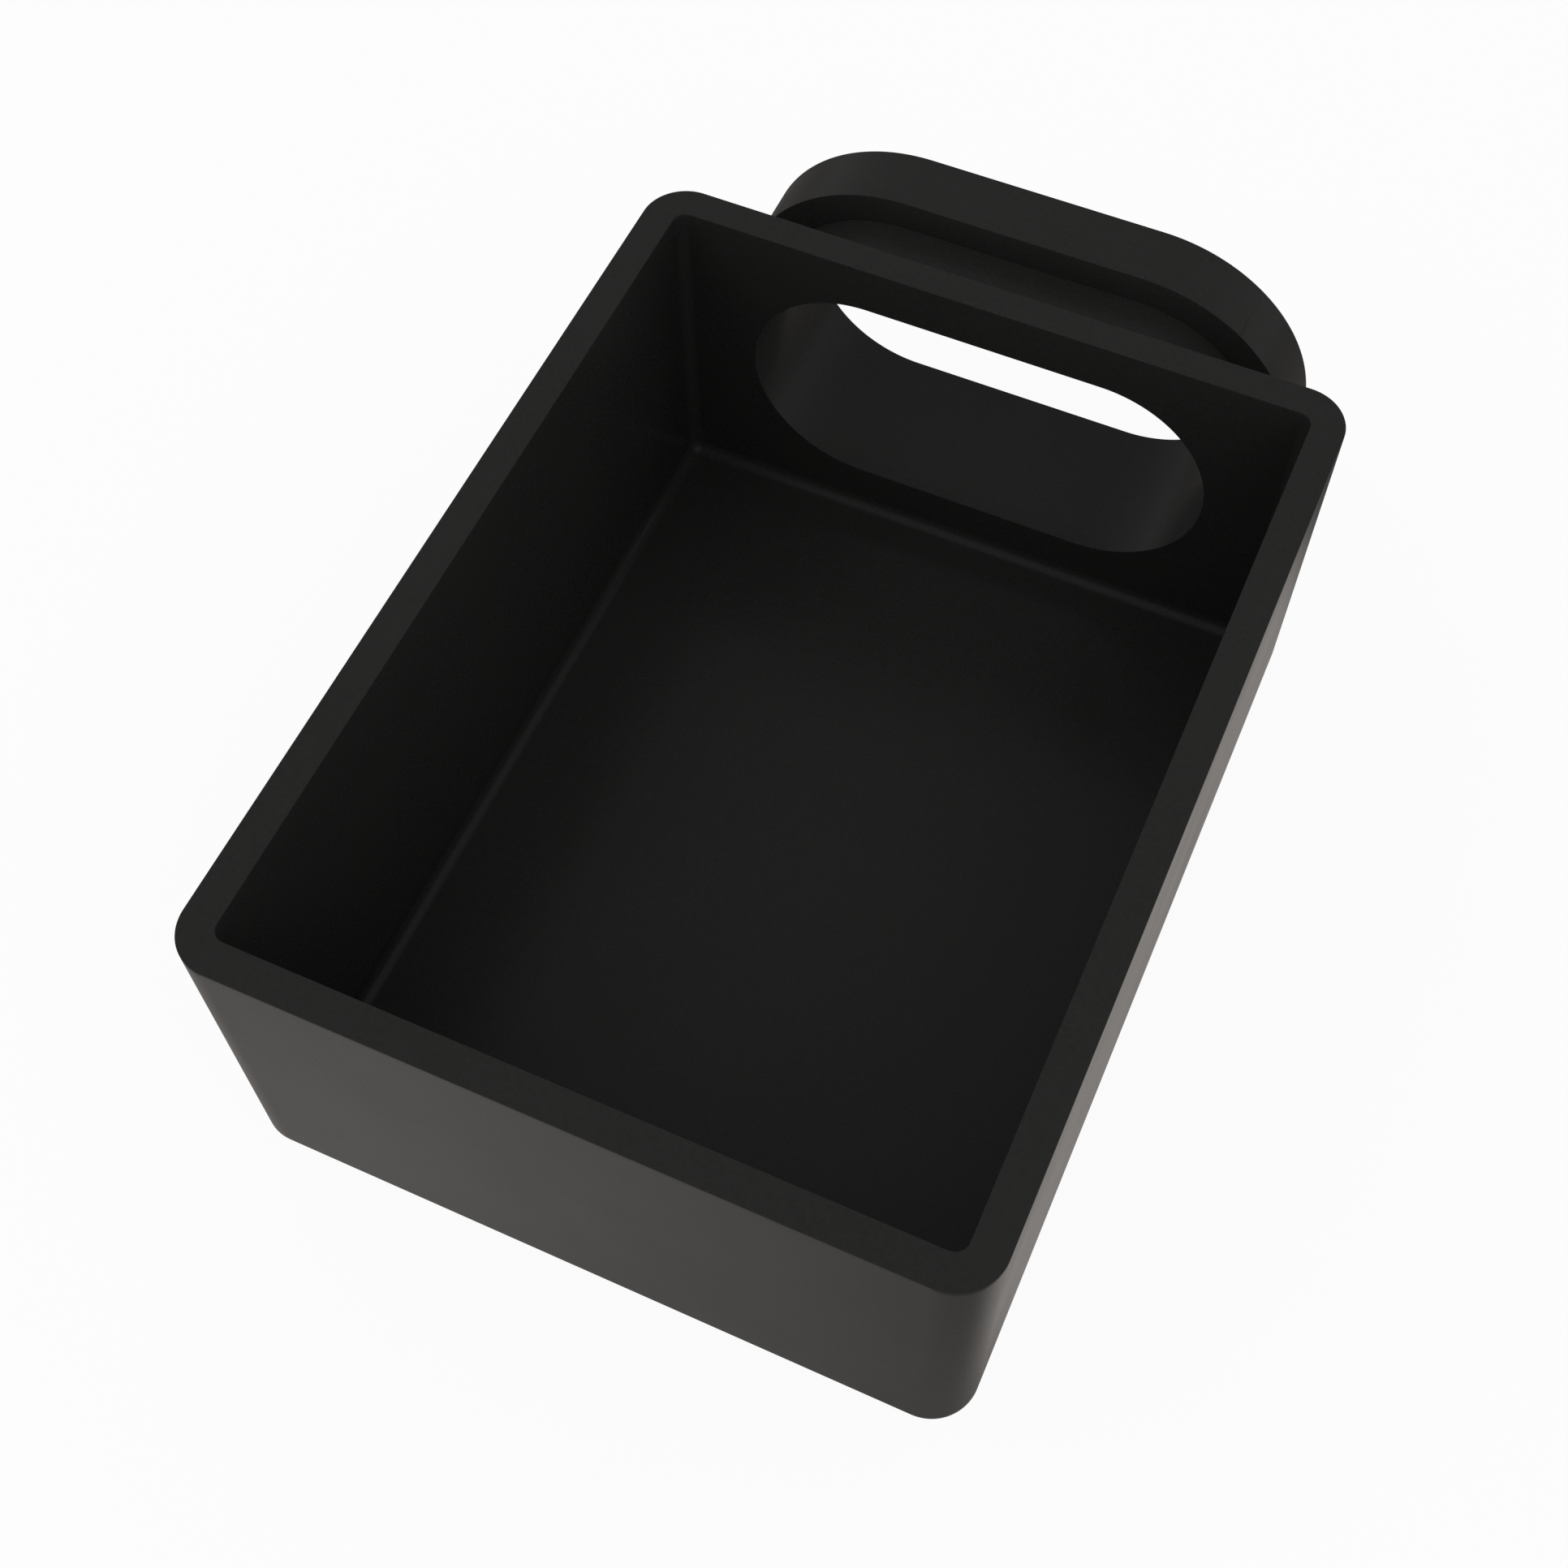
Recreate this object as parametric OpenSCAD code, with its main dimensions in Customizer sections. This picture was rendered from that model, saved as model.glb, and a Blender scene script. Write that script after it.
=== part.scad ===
// Open-top caddy for small hand tools. An oblong sleeve behind its rear wall passes
// through an opening in a panel, and the flange on the sleeve's end hooks behind it.
// Millimetres. X runs across the bin, Y from the front wall to the flange, Z up.
// The origin is under the middle of the whole caddy, on the surface that it stands on.

/* [Bin] */
// Outside width of the bin
bin_w = 101.6; // [92:0.1:200]
// Outside length of the bin, from its front wall to its rear wall
bin_l = 133.35; // [60:0.05:260]
// Depth of the tray, from the rim to the floor
tray_depth = 50.8; // [36:0.1:78]
// Thickness of the four walls
wall_t = 4.57; // [3:0.01:8]
// Thickness of the floor
floor_t = 4.57; // [2:0.01:12]
// Outside radius of the upright corners
corner_r = 6.35; // [5.6:0.05:10]
// Inside radius of the upright corners and of the fillet round the floor
inside_r = 1.8; // [0.5:0.1:8]
// Chamfer round the underside of the bin
base_chamfer = 5.08; // [0.5:0.01:5.9]

/* [Hanger] */
// Width of the oblong slot through the rear wall and the sleeve
slot_w = 69.85; // [45:0.05:78]
// Border of the flange round the slot
flange_border = 7.62; // [5:0.01:14]
// Wall of the sleeve where it crosses the panel
neck_wall = 3.05; // [2.4:0.01:5]
// Wall of the sleeve's end, inside the flange
spigot_wall = 1.6; // [1:0.05:2.4]
// Depth of the sockets, in the rear wall and in the flange, that the sleeve is bonded into
socket_depth = 1.5; // [0.8:0.1:2.2]
// Space between the rear wall and the flange, which holds the panel
panel_gap = 9.525; // [3:0.005:30]
// Thickness of the flange
flange_t = 9.525; // [3:0.005:30]

/* [Fits] */
// Clearance all round the sleeve in its two sockets and in the flange's bore
seat_clearance = 0.1; // [0.05:0.01:0.2]

/* [Hidden] */
$fn = 96;
past = 1;                                            // how far a cut runs past a face
bin_h = floor_t + tray_depth;
overall_l = bin_l + panel_gap + flange_t;
front_y = -overall_l / 2;
rear_y = front_y + bin_l;                            // outer face of the rear wall
flange_y = rear_y + panel_gap;                       // front face of the flange
end_y = flange_y + flange_t;                         // rear face of the flange
bin_mid_y = front_y + bin_l / 2;
flange_h = bin_h - base_chamfer;                     // as tall as the upright part of the wall
slot_h = flange_h - 2 * flange_border;
slot_z = base_chamfer + flange_h / 2;                // middle of the slot, sleeve and flange
tray_w = bin_w - 2 * wall_t;
tray_l = bin_l - 2 * wall_t;
PLASTIC = "#2b2b29";

// A bar of oblong section along Y, from y0 to y1, that stands out `grow` all round the slot.
module oblong_bar(y0, y1, grow) {
    r = slot_h / 2 + grow;
    span = slot_w - slot_h;
    translate([0, y0, slot_z]) {
        for (side = [-1, 1])
            translate([side * span / 2, 0, 0]) rotate([-90, 0, 0]) cylinder(r = r, h = y1 - y0);
        translate([-span / 2, 0, -r]) cube([span, y1 - y0, 2 * r]);
    }
}

// Its children at the four upright corners of a rounded rectangle.
module at_corners(w, l, r) {
    for (x = [-1, 1], y = [-1, 1])
        translate([x * (w / 2 - r), y * (l / 2 - r), 0]) children();
}

// Half section of the bin's outside, `half` wide, with the chamfer at its foot.
module outside_half(half) {
    polygon([[0, 0], [half - base_chamfer, 0], [half, base_chamfer], [half, bin_h], [0, bin_h]]);
}

// Section of the bin's outside, w wide.
module outside_section(w) {
    for (side = [0, 1]) mirror([side, 0]) outside_half(w / 2);
}

// Section of the tray, w wide, with the fillets at its foot.
module tray_section(w) {
    translate([-w / 2, inside_r]) square([w, tray_depth - inside_r + past]);
    translate([-w / 2 + inside_r, 0]) square([w - 2 * inside_r, 2 * inside_r]);
    for (side = [-1, 1]) translate([side * (w / 2 - inside_r), inside_r]) circle(r = inside_r);
}

// The bin before it is hollowed: two crossing slabs and four turned corner posts.
module bin_block() {
    rotate([90, 0, 0]) linear_extrude(bin_l - 2 * corner_r, center = true) outside_section(bin_w);
    rotate([90, 0, 90]) linear_extrude(bin_w - 2 * corner_r, center = true) outside_section(bin_l);
    at_corners(bin_w, bin_l, corner_r) rotate_extrude() outside_half(corner_r);
}

// The hollow of the tray, above the floor.
module tray_hollow() {
    rotate([90, 0, 0]) linear_extrude(tray_l - 2 * inside_r, center = true) tray_section(tray_w);
    rotate([90, 0, 90]) linear_extrude(tray_w - 2 * inside_r, center = true) tray_section(tray_l);
    at_corners(tray_w, tray_l, inside_r) translate([0, 0, inside_r]) {
        sphere(r = inside_r);
        cylinder(r = inside_r, h = tray_depth - inside_r + past);
    }
}

// Moulded bin, with the slot and the sleeve's socket in its rear wall.
module bin() {
    color(PLASTIC)
    difference() {
        translate([0, bin_mid_y, 0]) bin_block();
        translate([0, bin_mid_y, floor_t]) tray_hollow();
        oblong_bar(rear_y - wall_t - past, rear_y + past, 0);
        oblong_bar(rear_y - socket_depth, rear_y + past, neck_wall + seat_clearance);
    }
}

// Oblong sleeve: seated in both sockets, and stepped down where it goes through the flange.
module hanger_sleeve() {
    color(PLASTIC)
    difference() {
        union() {
            oblong_bar(rear_y - socket_depth, flange_y + socket_depth, neck_wall);
            oblong_bar(rear_y, end_y, spigot_wall);
        }
        oblong_bar(rear_y - socket_depth - past, end_y + past, 0);
    }
}

// Oblong flange: pushed onto the sleeve's end until the shoulder meets its socket's floor.
module hanger_flange() {
    color(PLASTIC)
    difference() {
        oblong_bar(flange_y, end_y, flange_border);
        oblong_bar(flange_y - past, flange_y + socket_depth, neck_wall + seat_clearance);
        oblong_bar(flange_y - past, end_y + past, spigot_wall + seat_clearance);
    }
}

bin();
hanger_sleeve();
hanger_flange();
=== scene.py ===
import math

import bmesh
import bpy
import numpy as np
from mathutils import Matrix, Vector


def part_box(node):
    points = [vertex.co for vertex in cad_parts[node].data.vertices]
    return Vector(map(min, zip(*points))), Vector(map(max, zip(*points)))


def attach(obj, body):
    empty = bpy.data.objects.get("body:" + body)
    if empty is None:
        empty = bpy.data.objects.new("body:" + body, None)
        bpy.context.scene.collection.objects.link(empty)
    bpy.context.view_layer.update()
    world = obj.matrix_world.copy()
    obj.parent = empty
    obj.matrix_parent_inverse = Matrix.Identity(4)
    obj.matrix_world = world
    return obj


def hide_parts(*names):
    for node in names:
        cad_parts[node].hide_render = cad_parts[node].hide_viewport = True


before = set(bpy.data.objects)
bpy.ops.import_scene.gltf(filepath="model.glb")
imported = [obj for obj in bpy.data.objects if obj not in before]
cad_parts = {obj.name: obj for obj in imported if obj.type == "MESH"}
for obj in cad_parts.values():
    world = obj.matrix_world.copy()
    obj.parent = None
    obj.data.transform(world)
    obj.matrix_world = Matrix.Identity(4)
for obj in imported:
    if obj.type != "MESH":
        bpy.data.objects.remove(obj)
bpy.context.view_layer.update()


# ---------------------------------------------------------------------------------------------
# Camera: a 50 mm lens, high over the front right corner and looking down into the tray, with a
# slight roll.

camera_data = bpy.data.cameras.new("camera")
camera_data.sensor_width = 36.0
camera_data.lens = 49.94
camera_data.clip_start = 0.01
camera = bpy.data.objects.new("camera", camera_data)
bpy.context.scene.collection.objects.link(camera)
camera.location = (0.06031, -0.14593, 0.27689)
camera.rotation_euler = [math.radians(turn) for turn in (30.643, 0.358, 24.110)]
bpy.context.scene.camera = camera
bpy.context.scene.view_settings.view_transform = "Standard"


# ---------------------------------------------------------------------------------------------
# Bin: one injection moulding in near-black ABS, with thick upright walls, a chamfered foot, a
# small fillet round the floor and an oblong slot through the rear wall. Outside, the slot is
# widened to a shallow socket that the sleeve is bonded into.

MM = 0.001
bin_low, bin_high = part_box("bin")
sleeve_low, sleeve_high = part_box("hanger_sleeve")
flange_low, flange_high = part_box("hanger_flange")
HALF_W, RIM_Z, REAR_Y = bin_high.x, bin_high.z, bin_high.y
HALF_L, MID_Y = (bin_high.y - bin_low.y) / 2, (bin_high.y + bin_low.y) / 2
WALL = 4.57 * MM
FLOOR_Z = 4.57 * MM
CORNER_R = 6.35 * MM
INSIDE_R = 1.8 * MM
FOOT_CHAMFER = 5.08 * MM
NECK_WALL = 3.05 * MM
SEAT_GAP = 0.1 * MM
SOCKET_Y = sleeve_low.y
SLOT_Z = (sleeve_low.z + sleeve_high.z) / 2
SLOT_HALF_W = sleeve_high.x - NECK_WALL
SLOT_HALF_H = (sleeve_high.z - sleeve_low.z) / 2 - NECK_WALL
EDGE_BREAK = 0.12 * MM
SAME_PLACE = 0.002 * MM   # points closer than this are one
ON_PLANE = 0.01 * MM      # slack in asking whether a point lies on a joint
SHARP_TURN = math.radians(30)

ARC_STEPS = 24        # faces round each upright corner
SIDE_STEPS = 40       # faces along each side wall
CROSS_STEPS = 72      # faces along the front wall, along the rear wall, and over or under the slot
RISE_STEPS = 48       # faces up each wall, and round the middle quarter of the slot's ends
FILLET_STEPS = 12     # faces round the floor's fillet
FLAT_EDGE = 0.4 * MM  # a narrow ring of flat floor, so that the fillet's shading ends there


def bin_rows(inset, radius, height):
    """Rows of points round the bin, one row for each inset, corner radius and height.

    Seen from above, a row is the line that runs at its radius round a rectangle. The rectangle's corners are
    the circles' centres, and it lies inset plus radius inside the bin's outside. Along a corner's columns the
    centre stays and the turn grows by 90 degrees, and along a side's the centre moves and the turn stays."""
    stops = np.cumsum([0] + [ARC_STEPS, SIDE_STEPS, ARC_STEPS, CROSS_STEPS] * 2)
    column = np.arange(stops[-1])
    turn = np.radians(np.interp(column, stops, [-90, 0, 0, 90, 90, 180, 180, 270, 270]))
    across = np.interp(column, stops, [1, 1, 1, 1, -1, -1, -1, -1, 1])
    along = np.interp(column, stops, [-1, -1, 1, 1, 1, 1, -1, -1, -1])
    inset, radius, height = (np.asarray(part, dtype=float)[:, None] for part in (inset, radius, height))
    x = (HALF_W - inset - radius) * across + radius * np.cos(turn)
    y = MID_Y + (HALF_L - inset - radius) * along + radius * np.sin(turn)
    return np.stack([x, y, height + 0 * x], -1)


def slot_rows(grow, depth):
    """Rows of points round the slot, one row for each growth and depth (y).

    A row is the line that runs round the straight between the centres of the slot's two ends, at half the
    slot's height plus the growth. It starts at the lower left and runs along the bottom, up the right end,
    back over the top and down the left end, with as many columns as the border of the rear wall."""
    third = CROSS_STEPS // 3
    stops = np.cumsum([0] + [third, third, third, RISE_STEPS] * 2)
    column = np.arange(stops[-1])
    turn = np.radians(np.interp(column, stops, [-135, -90, -90, -45, 45, 90, 90, 135, 225]))
    across = np.interp(column, stops, [-1, -1, 1, 1, 1, 1, -1, -1, -1])
    radius, depth = SLOT_HALF_H + np.asarray(grow)[:, None], np.asarray(depth)[:, None]
    x = (SLOT_HALF_W - SLOT_HALF_H) * across + radius * np.cos(turn)
    return np.stack([x, depth + 0 * x, SLOT_Z + radius * np.sin(turn)], -1)


def row_faces(numbers):
    """Four-sided faces between neighbouring rows of point numbers, closed round each row, as an array of
    rows by columns by four."""
    low, high = numbers[:-1], numbers[1:]
    return np.stack([low, np.roll(low, -1, 1), np.roll(high, -1, 1), high], -1)


def wall_border(wall, first, last):
    """Point numbers round the flat wall between two columns of wall, whose first row is its lowest: along the
    bottom from the last column to the first, up, back along the top and down."""
    bottom, top = wall[0, first : last + 1], wall[-1, first : last + 1]
    return np.concatenate([bottom[:0:-1], wall[:-1, first], top[:-1], wall[:0:-1, last]])


def round_slot(place):
    """True where a place lies within the sockets' outline, seen along the slot."""
    reach = NECK_WALL + SEAT_GAP + ON_PLANE
    return abs(place.x) < SLOT_HALF_W + reach and abs(place.z - SLOT_Z) < SLOT_HALF_H + reach


def moulding(name, points, faces, cad_node):
    """A smooth-shaded piece that takes a CAD node's place. Doubled points are merged and the faces turned
    outwards. A small bevel breaks each edge of more than 30 degrees, apart from those where two pieces meet
    flush round the slot, which stay crisp so that the joint closes."""
    mesh = bpy.data.meshes.new(name)
    mesh.from_pydata(points.reshape(-1, 3).tolist(), [], faces)
    work = bmesh.new()
    work.from_mesh(mesh)
    bmesh.ops.remove_doubles(work, verts=work.verts, dist=SAME_PLACE)
    bmesh.ops.recalc_face_normals(work, faces=work.faces)
    weight = work.edges.layers.float.new("bevel_weight_edge")
    for edge in work.edges:
        sharp = edge.calc_face_angle() > SHARP_TURN
        on_joint = any(
            all(abs(end.co.y - joint) < ON_PLANE and round_slot(end.co) for end in edge.verts)
            for joint in (SOCKET_Y, REAR_Y, flange_low.y)
        )
        edge[weight] = float(sharp and not on_joint)
        edge.smooth = not (sharp and on_joint)
    work.to_mesh(mesh)
    work.free()
    mesh.polygons.foreach_set("use_smooth", np.ones(len(mesh.polygons), dtype=bool))
    piece = bpy.data.objects.new(name, mesh)
    bpy.context.scene.collection.objects.link(piece)
    bevel = piece.modifiers.new("edge break", "BEVEL")
    bevel.limit_method, bevel.width, bevel.segments = "WEIGHT", EDGE_BREAK, 2
    level = piece.modifiers.new("flat faces shade flat", "WEIGHTED_NORMAL")
    level.keep_sharp = True
    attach(piece, "root")
    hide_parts(cad_node)
    return piece


rise = np.linspace(0, 1, RISE_STEPS + 1)
fillet = np.radians(np.linspace(0, 90, FILLET_STEPS + 1)[1:])
outside = bin_rows(
    np.append(FOOT_CHAMFER, 0 * rise),
    np.append(CORNER_R - FOOT_CHAMFER, CORNER_R + 0 * rise),
    np.append(0.0, FOOT_CHAMFER + (RIM_Z - FOOT_CHAMFER) * rise),
)
fillet_top = FLOOR_Z + INSIDE_R
inside = bin_rows(
    np.concatenate([WALL + 0 * rise, WALL + INSIDE_R * (1 - np.cos(fillet)), [WALL + INSIDE_R + FLAT_EDGE]]),
    np.concatenate([INSIDE_R + 0 * rise, INSIDE_R * np.cos(fillet), [0.0]]),
    np.concatenate([RIM_Z + (fillet_top - RIM_Z) * rise, fillet_top - INSIDE_R * np.sin(fillet), [FLOOR_Z]]),
)
through = slot_rows(
    [NECK_WALL + SEAT_GAP, NECK_WALL + SEAT_GAP, 0.0, 0.0],
    [REAR_Y, SOCKET_Y, SOCKET_Y, REAR_Y - WALL],
)
walls = np.concatenate([outside, inside])
wall_numbers = np.arange(walls.shape[0] * walls.shape[1]).reshape(walls.shape[:2])
slot_numbers = wall_numbers.size + np.arange(through.shape[0] * through.shape[1]).reshape(through.shape[:2])
rear_first = 2 * ARC_STEPS + SIDE_STEPS
rear_last = rear_first + CROSS_STEPS
outer_rows = slice(1, RISE_STEPS + 2)
inner_rows = slice(RISE_STEPS + 2, 2 * RISE_STEPS + 3)
wall_faces = row_faces(wall_numbers)
kept = np.ones(wall_faces.shape[:2], dtype=bool)
for rows in (outer_rows, inner_rows):
    kept[rows.start : rows.stop - 1, rear_first:rear_last] = False
rings = np.vstack([
    wall_border(wall_numbers[outer_rows], rear_first, rear_last),
    slot_numbers,
    wall_border(wall_numbers[inner_rows][::-1], rear_first, rear_last),
])
bin_piece = moulding(
    "bin_moulding",
    np.concatenate([walls.reshape(-1, 3), through.reshape(-1, 3)]),
    wall_faces[kept].tolist() + row_faces(rings).reshape(-1, 4).tolist()
    + [wall_numbers[0].tolist(), wall_numbers[-1].tolist()],
    "bin",
)


def linear(colour):
    """The linear red, green and blue of an sRGB hex colour: up to 0.04045 a channel is divided by 12.92, and
    above it is raised to the power 2.4 after a shift."""
    value = np.array([int(colour[k : k + 2], 16) for k in (1, 3, 5)]) / 255
    straight = np.where(value <= 0.04045, value / 12.92, ((value + 0.055) / 1.055) ** 2.4)
    return (*straight.tolist(), 1.0)


def add(tree, kind, settings={}, values={}, links={}):
    """A new node of this kind, with settings on it, values on its inputs and links into its inputs."""
    node = tree.nodes.new(kind)
    for key, value in settings.items():
        setattr(node, key, value)
    for key, value in values.items():
        node.inputs[key].default_value = value
    for key, source in links.items():
        tree.links.new(source, node.inputs[key])
    return node


# ABS is coloured through, and its surface is copied from a spark-eroded steel tool. The eye sees an even
# near-black satin whose gloss drifts slowly over each face, with a fine grain where light grazes it.
GRAIN = 0.6 * MM     # a spark-eroded grain is about 0.1 mm: it is drawn coarser, so that it shows
DRIFT = 22 * MM      # the cooling tool leaves patches of about this size a little glossier
GRAIN_DEPTH = 0.02 * MM
plastic = bpy.data.materials.new("near-black ABS, moulded in a spark-eroded tool")
plastic.use_nodes = True
tree = plastic.node_tree
tree.nodes.clear()
place = add(tree, "ShaderNodeTexCoord").outputs["Object"]
grain = add(
    tree, "ShaderNodeTexNoise", values={"Scale": 1 / GRAIN, "Detail": 2.0, "Roughness": 0.6},
    links={"Vector": place},
).outputs["Fac"]
drift = add(
    tree, "ShaderNodeTexNoise", values={"Scale": 1 / DRIFT, "Detail": 3.0, "Roughness": 0.55},
    links={"Vector": place},
).outputs["Fac"]
slow_gloss = add(
    tree, "ShaderNodeMapRange", values={"From Min": 0.3, "From Max": 0.7, "To Min": 0.22, "To Max": 0.27},
    links={"Value": drift},
).outputs["Result"]
roughness = add(tree, "ShaderNodeMath", {"operation": "MULTIPLY_ADD"}, {1: 0.06}, {0: grain, 2: slow_gloss})
body_colour = add(
    tree, "ShaderNodeMix", {"data_type": "RGBA"}, {"A": linear("#222221"), "B": linear("#262625")},
    {"Factor": drift},
).outputs["Result"]
peaks = add(
    tree, "ShaderNodeMapRange", values={"From Min": 0.35, "From Max": 0.65, "To Min": 0.0, "To Max": 0.22},
    links={"Value": grain},
).outputs["Result"]
colour = add(
    tree, "ShaderNodeMix", {"data_type": "RGBA"}, {"B": linear("#30302f")}, {"Factor": peaks, "A": body_colour}
).outputs["Result"]
relief = add(
    tree, "ShaderNodeBump", values={"Strength": 0.2, "Distance": GRAIN_DEPTH}, links={"Height": grain}
).outputs["Normal"]
shader = add(
    tree, "ShaderNodeBsdfPrincipled", values={"IOR": 1.5},
    links={"Base Color": colour, "Roughness": roughness.outputs["Value"], "Normal": relief},
)
add(tree, "ShaderNodeOutputMaterial", links={"Surface": shader.outputs["BSDF"]})
bin_piece.data.materials.append(plastic)


# ---------------------------------------------------------------------------------------------
# Sleeve: an oblong tube moulded in the same ABS, which carries the slot on through a panel. Its
# front end is bonded into the bin's rear wall, and a step near its rear end stops the flange.

SPIGOT_WALL = 1.6 * MM
STEP_Y = flange_low.y + (REAR_Y - SOCKET_Y)
END_Y = flange_high.y


def oblong_ring(section):
    """Points and faces of a closed ring round the slot: its section, as corners of growth and depth, is
    carried round the slot."""
    grow, depth = np.array(section).T
    points = slot_rows(grow, depth)
    numbers = np.arange(points.shape[0] * points.shape[1]).reshape(points.shape[:2])
    return points, row_faces(np.vstack([numbers, numbers[:1]])).reshape(-1, 4).tolist()


sleeve_section = [
    (0.0, SOCKET_Y),
    (NECK_WALL, SOCKET_Y),
    (NECK_WALL, STEP_Y),
    (SPIGOT_WALL, STEP_Y),
    (SPIGOT_WALL, END_Y),
    (0.0, END_Y),
]
sleeve_piece = moulding("sleeve_tube", *oblong_ring(sleeve_section), "hanger_sleeve")
sleeve_piece.data.materials.append(plastic)


# ---------------------------------------------------------------------------------------------
# Flange: a thick oblong ring of the same ABS, pushed over the sleeve's end up to its step and
# bonded there. It hooks behind the panel.

FLANGE_BORDER = flange_high.x - SLOT_HALF_W
flange_section = [
    (FLANGE_BORDER, flange_low.y),
    (FLANGE_BORDER, END_Y),
    (SPIGOT_WALL + SEAT_GAP, END_Y),
    (SPIGOT_WALL + SEAT_GAP, STEP_Y),
    (NECK_WALL + SEAT_GAP, STEP_Y),
    (NECK_WALL + SEAT_GAP, flange_low.y),
]
flange_piece = moulding("flange_ring", *oblong_ring(flange_section), "hanger_flange")
flange_piece.data.materials.append(plastic)


# ---------------------------------------------------------------------------------------------
# Stage: a white paper floor that keeps a faint shadow, a white surround that is dimmer overhead,
# and two large soft lamps. Glossy rays see the paper grey, so that the black walls stay black, and
# see painted pools of light in front to the left and beside the bin, a painted reflection in the walls' sheen.

FLOOR_HALF = 3.0
FLOOR_DROP = 0.1 * MM     # under the bin's base, so that the two don't lie in one plane
WHITE_SHARE = 0.93        # of the paper's look to the camera: the rest is the real light on it
# centres of two painted pools of light on the paper, seen only by glossy rays as a painted reflection
PAINTED_FRONT_POOL_CENTRE = (-0.11, -0.14, 0.0)
PAINTED_SIDE_POOL_CENTRE = (0.085, 0.004, 0.0)
LAMP_PLACE = (0.55, -0.4, 0.92)
LAMP_SIZE = 0.8
LAMP_WATTS = 2.0
floor_mesh = bpy.data.meshes.new("floor")
floor_mesh.from_pydata(
    [(x * FLOOR_HALF, y * FLOOR_HALF, -FLOOR_DROP) for x, y in ((-1, -1), (1, -1), (1, 1), (-1, 1))],
    [], [(0, 1, 2, 3)],
)
floor = bpy.data.objects.new("floor", floor_mesh)
bpy.context.scene.collection.objects.link(floor)


def by_ray(tree, direct, glossy, lit):
    """One value for camera and transmission rays, one for glossy rays, and one for the rays that carry light
    to matt surfaces. Each is a number or a node's output."""
    rays = add(tree, "ShaderNodeLightPath").outputs
    clear = add(
        tree, "ShaderNodeMath", {"operation": "MAXIMUM"},
        links={0: rays["Is Camera Ray"], 1: rays["Is Transmission Ray"]},
    ).outputs["Value"]
    value = lit
    for mask, other in ((rays["Is Glossy Ray"], glossy), (clear, direct)):
        numbers = {key: side for key, side in (("A", value), ("B", other)) if isinstance(side, float)}
        outputs = {key: side for key, side in (("A", value), ("B", other)) if not isinstance(side, float)}
        value = add(tree, "ShaderNodeMix", {}, numbers, {"Factor": mask, **outputs}).outputs["Result"]
    return value


paper = bpy.data.materials.new("white paper, with painted pools of light in its reflections")
paper.use_nodes = True
tree = paper.node_tree
tree.nodes.clear()
place = add(tree, "ShaderNodeTexCoord").outputs["Object"]
# painted pools of light: to glossy rays only, the paper is brighter near these two centres
from_front = add(
    tree, "ShaderNodeVectorMath", {"operation": "DISTANCE"}, {1: PAINTED_FRONT_POOL_CENTRE}, {0: place}
).outputs["Value"]
painted_front_pool = add(
    tree, "ShaderNodeMapRange", {"interpolation_type": "SMOOTHSTEP"},
    {"From Min": 0.07, "From Max": 0.22, "To Min": 0.36, "To Max": 0.12}, {"Value": from_front},
).outputs["Result"]
from_side = add(
    tree, "ShaderNodeVectorMath", {"operation": "DISTANCE"}, {1: PAINTED_SIDE_POOL_CENTRE}, {0: place}
).outputs["Value"]
painted_side_pool = add(
    tree, "ShaderNodeMapRange", {"interpolation_type": "SMOOTHSTEP"},
    {"From Min": 0.062, "From Max": 0.088, "To Min": 0.35, "To Max": 0.0}, {"Value": from_side},
).outputs["Result"]
painted_pools = add(tree, "ShaderNodeMath", {"operation": "ADD"}, links={0: painted_front_pool, 1: painted_side_pool}).outputs["Value"]
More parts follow.
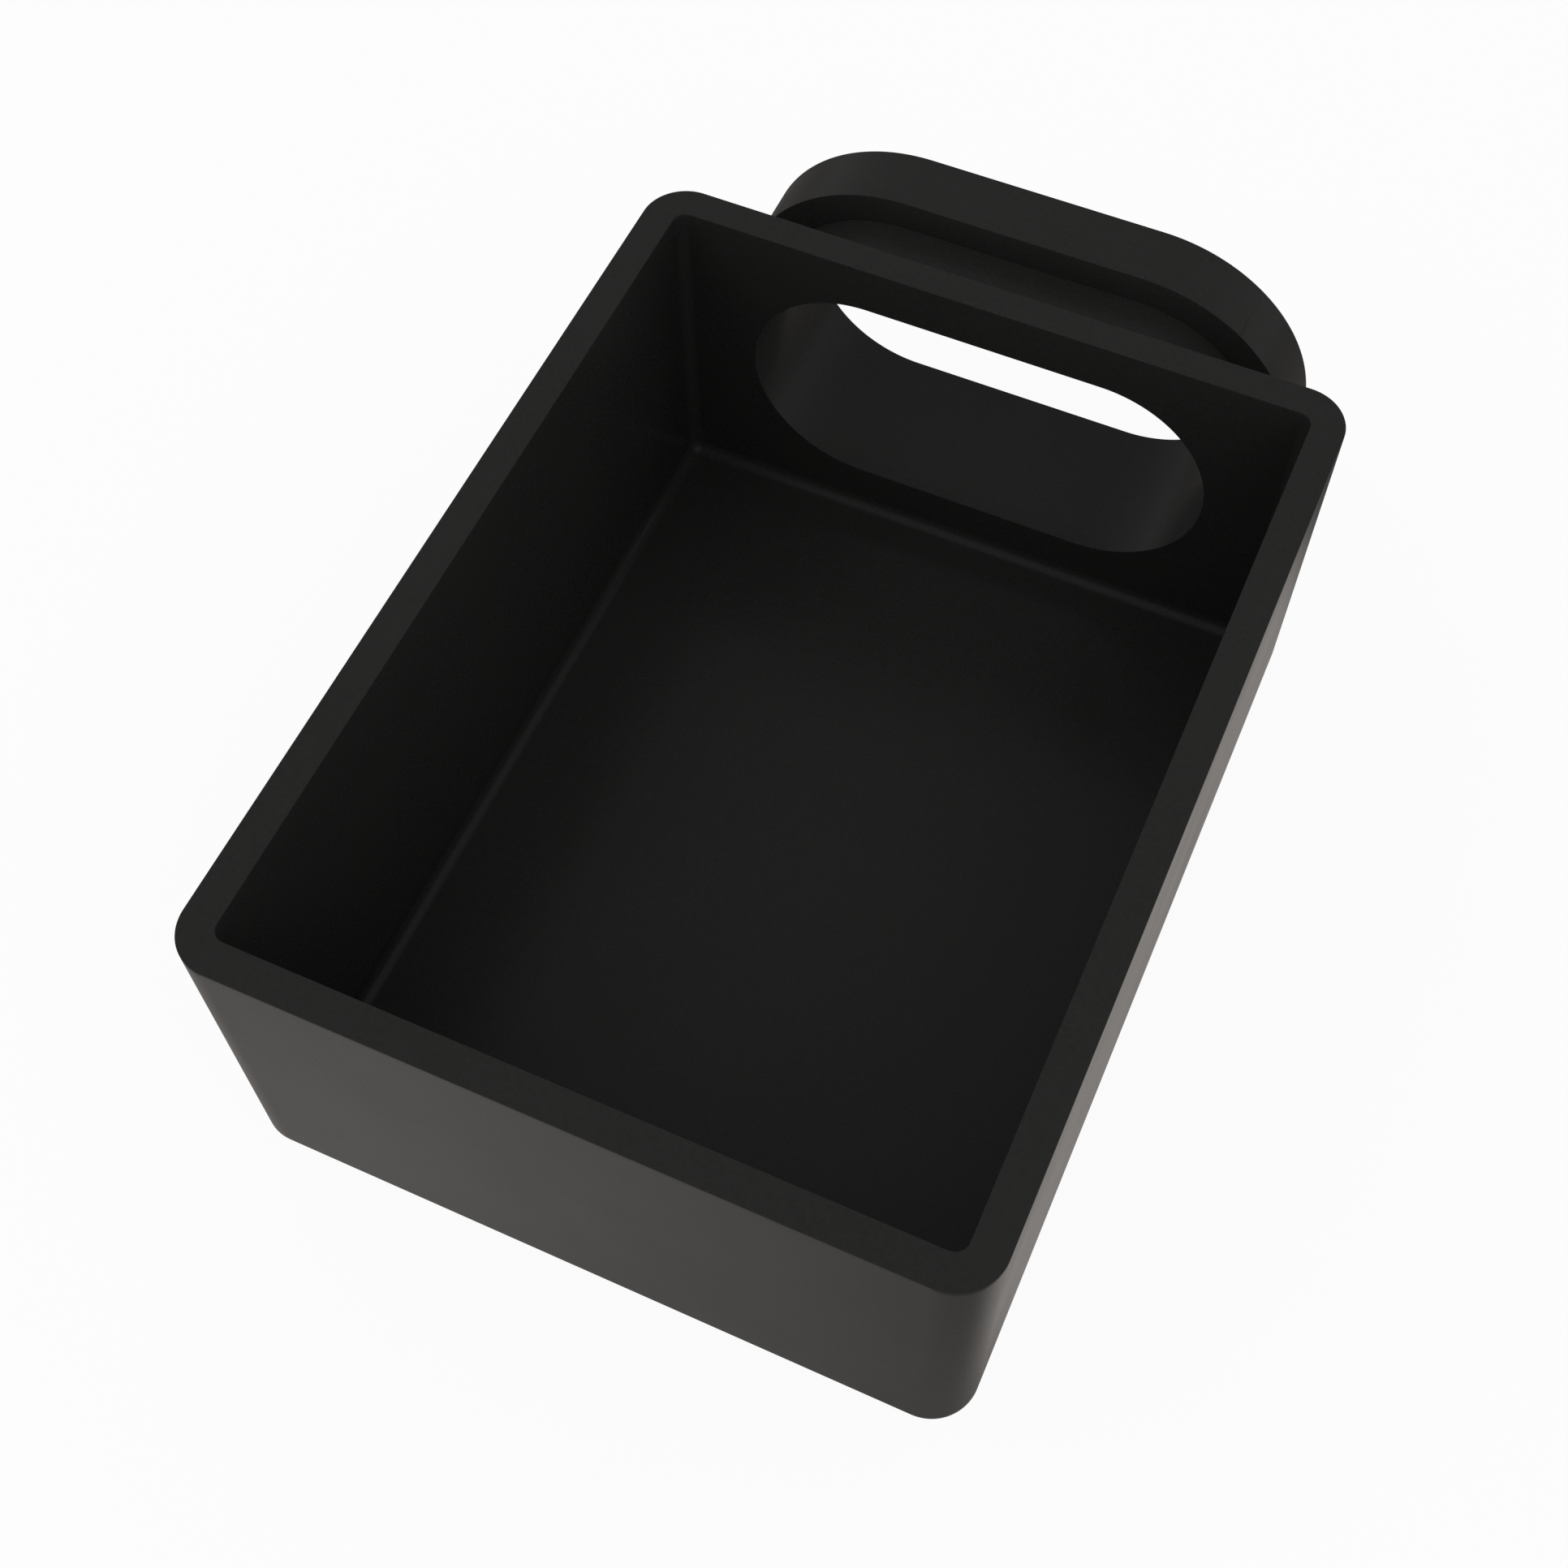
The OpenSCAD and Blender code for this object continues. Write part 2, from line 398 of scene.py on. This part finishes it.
# painted reflection's warm tint: only glossy rays see the paper's emission a little warm
painted_reflection_tint = add(
    tree, "ShaderNodeMix", {"data_type": "RGBA"}, {"A": linear("#ffffff"), "B": linear("#fff8f3")},
    {"Factor": by_ray(tree, 0.0, 1.0, 0.0)},
).outputs["Result"]
matt = add(tree, "ShaderNodeBsdfDiffuse", values={"Color": linear("#fbfbfb")}).outputs["BSDF"]
# the paper's emission: even white to the camera, and the painted pools of light to glossy rays
shown = add(
    tree, "ShaderNodeEmission", links={"Color": painted_reflection_tint, "Strength": by_ray(tree, 1.0, painted_pools, 0.0)}
).outputs["Emission"]
sheet = add(
    tree, "ShaderNodeMixShader", links={0: by_ray(tree, WHITE_SHARE, 1.0, 0.0), 1: matt, 2: shown}
).outputs["Shader"]
add(tree, "ShaderNodeOutputMaterial", links={"Surface": sheet})
floor_mesh.materials.append(paper)

world = bpy.data.worlds.new("white surround, dimmer overhead")
bpy.context.scene.world = world
world.use_nodes = True
tree = world.node_tree
tree.nodes.clear()
direction = add(tree, "ShaderNodeTexCoord").outputs["Generated"]
height = add(tree, "ShaderNodeSeparateXYZ", links={0: direction}).outputs["Z"]
light = add(tree, "ShaderNodeMapRange", values={"To Min": 0.95, "To Max": 0.36}, links={"Value": height})
mirrored = add(
    tree, "ShaderNodeMapRange", values={"From Max": 0.6, "To Min": 0.22, "To Max": 0.12},
    links={"Value": height},
)
strength = by_ray(tree, 1.0, mirrored.outputs["Result"], light.outputs["Result"])
sky = add(tree, "ShaderNodeBackground", values={"Color": linear("#ffffff")}, links={"Strength": strength})
add(tree, "ShaderNodeOutputWorld", links={"Surface": sky.outputs["Background"]})

for side in (-1, 1):
    lamp_data = bpy.data.lights.new("soft lamp", "AREA")
    lamp_data.shape, lamp_data.size = "SQUARE", LAMP_SIZE
    lamp_data.energy = LAMP_WATTS
    lamp = bpy.data.objects.new("soft lamp", lamp_data)
    bpy.context.scene.collection.objects.link(lamp)
    lamp.location = (side * LAMP_PLACE[0], LAMP_PLACE[1], LAMP_PLACE[2])
    lamp.rotation_euler = (-lamp.location).to_track_quat("-Z", "Y").to_euler()
    lamp.visible_glossy = False

bpy.context.view_layer.update()
